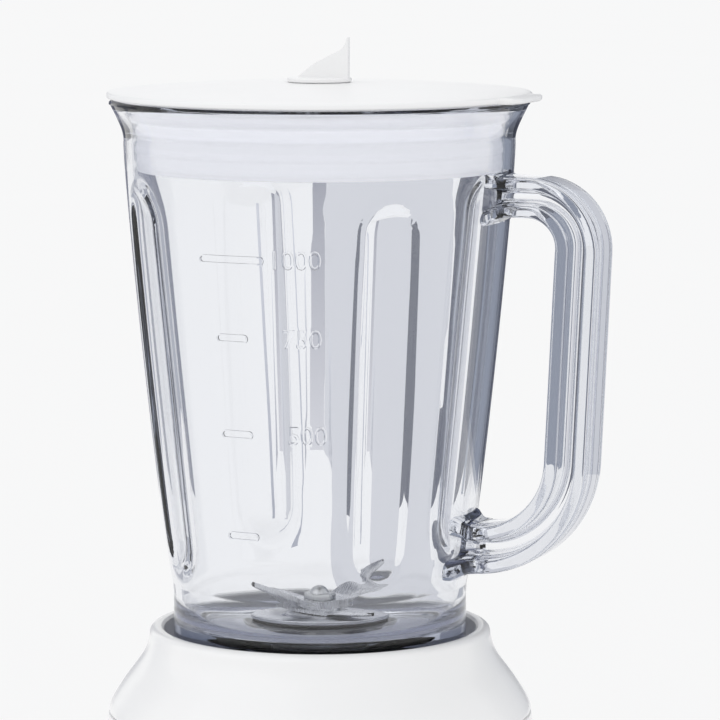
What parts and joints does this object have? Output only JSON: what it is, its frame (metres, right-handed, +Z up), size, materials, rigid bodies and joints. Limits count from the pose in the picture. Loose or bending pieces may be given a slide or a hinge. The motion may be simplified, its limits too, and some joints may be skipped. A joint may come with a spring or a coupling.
{
  "type": "countertop blender",
  "caption": "Countertop blender: fluted glass jug with handle, lid and filler cap on a round motor base with a speed knob.",
  "frame": {"origin": "on the common axis of jug and motor, at the plane the foot ring stands on", "axes": "+Z up along the motor axis, the jug's handle towards +X, the speed knob towards -Y"},
  "size_m": [0.1707, 0.1674, 0.3063],
  "materials": {
    "glass": "clear polished",
    "white_plastic": "smooth semi-gloss white",
    "seal_silicone": "milky silicone",
    "deck_plastic": "satin grey",
    "black_rubber": "matt black",
    "foot_rubber": "matt dark grey",
    "plate_plastic": "matt light grey",
    "stainless": "brushed stainless steel",
    "zinc_steel": "zinc plated",
    "core_steel": "varnished laminations",
    "copper": "enamelled copper",
    "bronze": "sintered bronze",
    "insulation": "phenolic brown",
    "carbon": "graphite",
    "black_plastic": "glass-filled black",
    "fan_plastic": "natural nylon",
    "dial_grey": "satin light grey"
  },
  "bodies": {
    "base": {"upper_housing": "white_plastic", "lower_housing": "white_plastic", "bottom_plate": "plate_plastic", "foot_ring": "foot_rubber", "housing_screws": "zinc_steel", "seat_deck": "deck_plastic", "deck_seal": "black_rubber", "deck_screws": "zinc_steel", "motor_stator": "core_steel", "stator_coils": "copper", "motor_top_bracket": "zinc_steel", "motor_bottom_bracket": "zinc_steel", "motor_bolts": "zinc_steel", "motor_mounts": "black_rubber", "upper_bearing": "zinc_steel", "lower_bearing": "zinc_steel", "brush_holders": "insulation", "carbon_brushes": "carbon", "rotary_switch": "black_plastic", "dial_ring": "dial_grey", "cable_inlet": "black_rubber"},
    "rotor": {"motor_shaft": "zinc_steel", "armature_core": "core_steel", "armature_windings": "copper", "commutator": "copper", "cooling_fan": "fan_plastic", "drive_coupling": "black_rubber"},
    "jug": {"jug": "glass", "blade_gasket": "black_rubber", "blade_carrier": "stainless", "bearing_bush": "bronze", "shaft_seal": "black_rubber", "clamp_nut": "black_plastic"},
    "blades": {"blade_shaft": "stainless", "lower_blade": "stainless", "blade_spacer": "stainless", "upper_blade": "stainless", "blade_nut": "stainless", "driven_coupling": "black_rubber"},
    "lid": {"lid": "white_plastic", "lid_seal": "seal_silicone"},
    "cap": {"filler_cap": "white_plastic", "cap_ring": "seal_silicone"},
    "knob": {"speed_knob": "white_plastic", "switch_spindle": "zinc_steel"}
  },
  "joints": [
    {"name": "motor_spin", "type": "hinge", "parent": "base", "child": "rotor", "pos_m": [0, 0, 0.06], "axis": [0, 0, 1], "continuous": true},
    {"name": "jug_lift", "type": "slide", "parent": "base", "child": "jug", "axis": [0, 0, 1], "range_m": [0, 0.05]},
    {"name": "blade_spin", "type": "hinge", "parent": "jug", "child": "blades", "pos_m": [0, 0, 0.12], "axis": [0, 0, 1], "continuous": true},
    {"name": "lid_lift", "type": "slide", "parent": "jug", "child": "lid", "axis": [0, 0, 1], "range_m": [0, 0.04]},
    {"name": "cap_lift", "type": "slide", "parent": "lid", "child": "cap", "axis": [0, 0, 1], "range_m": [0, 0.02]},
    {"name": "knob_turn", "type": "hinge", "parent": "base", "child": "knob", "pos_m": [0, -0.08, 0.048], "axis": [0, -1, 0], "range_deg": [-45, 90]}
  ],
  "couplings": [
    {"joint": "blade_spin", "follows": "motor_spin", "ratio": 1}
  ]
}
